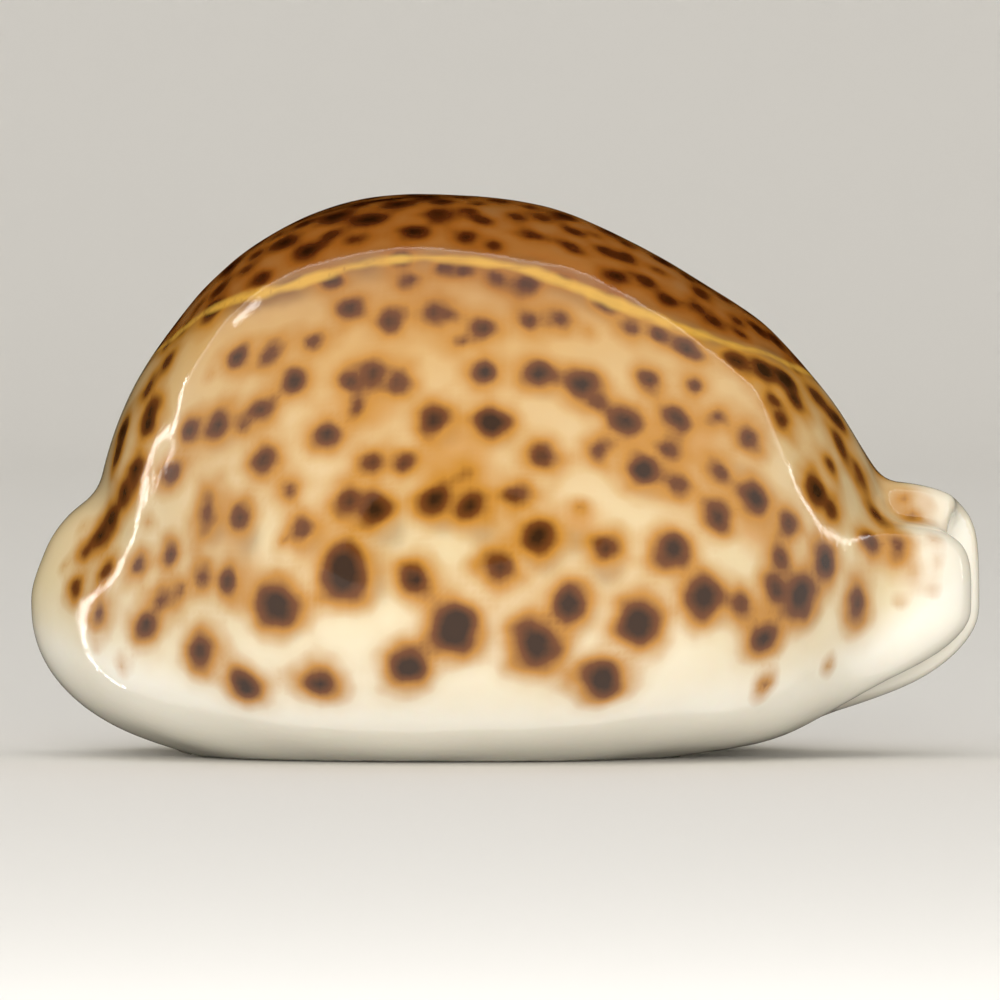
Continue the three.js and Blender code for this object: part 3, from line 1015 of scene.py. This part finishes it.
def stage_piece(name, mesh, material):
    piece = bpy.data.objects.new(name, mesh)
    mesh.materials.append(material)
    bpy.context.scene.collection.objects.link(piece)
    piece.visible_glossy = False
    return piece


def soft_light(name, place, aim, size, power):
    """A large soft light that doesn't show in the gloss."""
    light = bpy.data.lights.new(name, "AREA")
    light.shape = "DISK"
    light.size = size
    light.energy = power
    lamp = bpy.data.objects.new(name, light)
    lamp.location = place
    lamp.rotation_euler = (Vector(aim) - Vector(place)).to_track_quat("-Z", "Y").to_euler()
    lamp.visible_glossy = False
    lamp.visible_camera = False
    bpy.context.scene.collection.objects.link(lamp)


def camera_at(studio):
    lens = bpy.data.cameras.new("studio_camera")
    lens.lens = studio.focal
    lens.sensor_width = SENSOR
    lens.clip_start = 0.01
    aim, place, _ = sight(studio)
    camera = bpy.data.objects.new("studio_camera", lens)
    camera.location = place * MM
    camera.rotation_euler = (aim - place).to_track_quat("-Z", "Y").to_euler()
    bpy.context.scene.collection.objects.link(camera)
    bpy.context.scene.camera = camera


class COWRIE_OT_studio(bpy.types.Operator):
    """Build the floor, the light tent and the camera"""
    bl_idname = "cowrie.studio"
    bl_label = "Build Studio"

    def execute(self, context):
        studio = context.scene.cowrie_studio
        low, high = CAD_BOX
        middle = (low + high) / 2
        # The paper lies flat, bends up all round and ends well above the view, in metres.
        reach, bend, top = 1.35, 0.4, 1.8
        angles = [radians(a) for a in range(0, 91, 10)]
        arc = [(reach + bend * sin(a), bend - bend * cos(a)) for a in angles]
        profile = [(0.0, 0.0), (0.3, 0.0), (0.8, 0.0), *arc, (reach + bend, top)]
        paper = paper_material(studio.floor)
        floor = stage_piece("seamless_floor", turned_shape("seamless_floor", profile), paper)
        floor.location.z = low.z - 0.02 * MM
        # Each patch of the light tent: the angles of tent_patch, its radius in metres and its glow.
        patches = [
            ("tent_wall", 0, 109, 0, 360, 0.6, studio.glow),
            ("tent_left_edge", 109.8, 110.3, 150, 215, 0.59, studio.glow * 34),
            ("tent_top_edge", 108, 109, 30, 150, 0.59, studio.glow * 4),
            ("tent_lamp", 100, 104, 128, 135, 0.58, studio.glow * 9),
            ("tent_right_edge", 109, 110.5, 0, 30, 0.59, studio.glow * 9),
            ("tent_opening", 0, 18, 0, 360, 0.5, 0.02),
            ("tent_opening_rim", 18, 28, 0, 360, 0.5, studio.glow * 0.5),
        ]
        for name, front, rear, start, end, radius, glow in patches:
            mesh = tent_patch(name, front, rear, start, end, radius)
            patch = stage_piece(name, mesh, glowing(name, glow))
            patch.location = middle
            patch.visible_camera = False
            patch.visible_shadow = False
            patch.visible_diffuse = False
            patch.visible_glossy = True
            if name.startswith("tent_opening"):
                patch.rotation_euler = OPENING_TURN
        soft_light("front_fill", (-0.2, -0.75, 0.27), middle, 0.5, 1.0)
        soft_light("low_fill", (0.05, -0.6, 0.075), middle, 0.14, 1.7)
        world = bpy.data.worlds.new("white_room")
        world.use_nodes = True
        sky = world.node_tree.nodes["Background"]
        sky.inputs["Color"].default_value = (1, 0.99, 0.97, 1)
        sky.inputs["Strength"].default_value = studio.room
        context.scene.world = world
        world.cycles_visibility.glossy = False
        context.scene.view_settings.view_transform = "Standard"
        camera_at(studio)
        return {"FINISHED"}


# ---------------------------------------------------------------- add-on

class COWRIE_PT_panel(bpy.types.Panel):
    """Lists the steps that make the shell and its studio"""
    bl_idname = "COWRIE_PT_panel"
    bl_label = "Tiger Cowrie"
    bl_space_type = "VIEW_3D"
    bl_region_type = "UI"
    bl_category = "Cowrie"

    def draw(self, context):
        scene = context.scene
        for title, group, operators in STEPS:
            box = self.layout.box()
            box.label(text=title)
            settings = getattr(scene, group)
            for name in settings.bl_rna.properties.keys():
                if name not in ("rna_type", "name"):
                    box.prop(settings, name)
            for operator in operators:
                box.operator(operator.bl_idname)


STEPS = (
    ("Shape", "cowrie_shape", (COWRIE_OT_shell,)),
    ("Teeth", "cowrie_teeth", ()),
    ("Markings", "cowrie_markings", (COWRIE_OT_glaze,)),
    ("Studio", "cowrie_studio", (COWRIE_OT_studio,)),
)
GROUPS = {
    "cowrie_shape": CowrieShape,
    "cowrie_teeth": CowrieTeeth,
    "cowrie_markings": CowrieMarkings,
    "cowrie_studio": CowrieStudio,
}
CLASSES = (*GROUPS.values(), COWRIE_OT_shell, COWRIE_OT_glaze, COWRIE_OT_studio, COWRIE_PT_panel)


def register():
    for item in CLASSES:
        bpy.utils.register_class(item)
    for name, group in GROUPS.items():
        setattr(bpy.types.Scene, name, PointerProperty(type=group))


def unregister():
    for name in GROUPS:
        delattr(bpy.types.Scene, name)
    for item in reversed(CLASSES):
        bpy.utils.unregister_class(item)


def main():
    register()
    bpy.ops.cowrie.shell()
    bpy.ops.cowrie.glaze()
    bpy.ops.cowrie.studio()


if __name__ == "__main__":
    main()
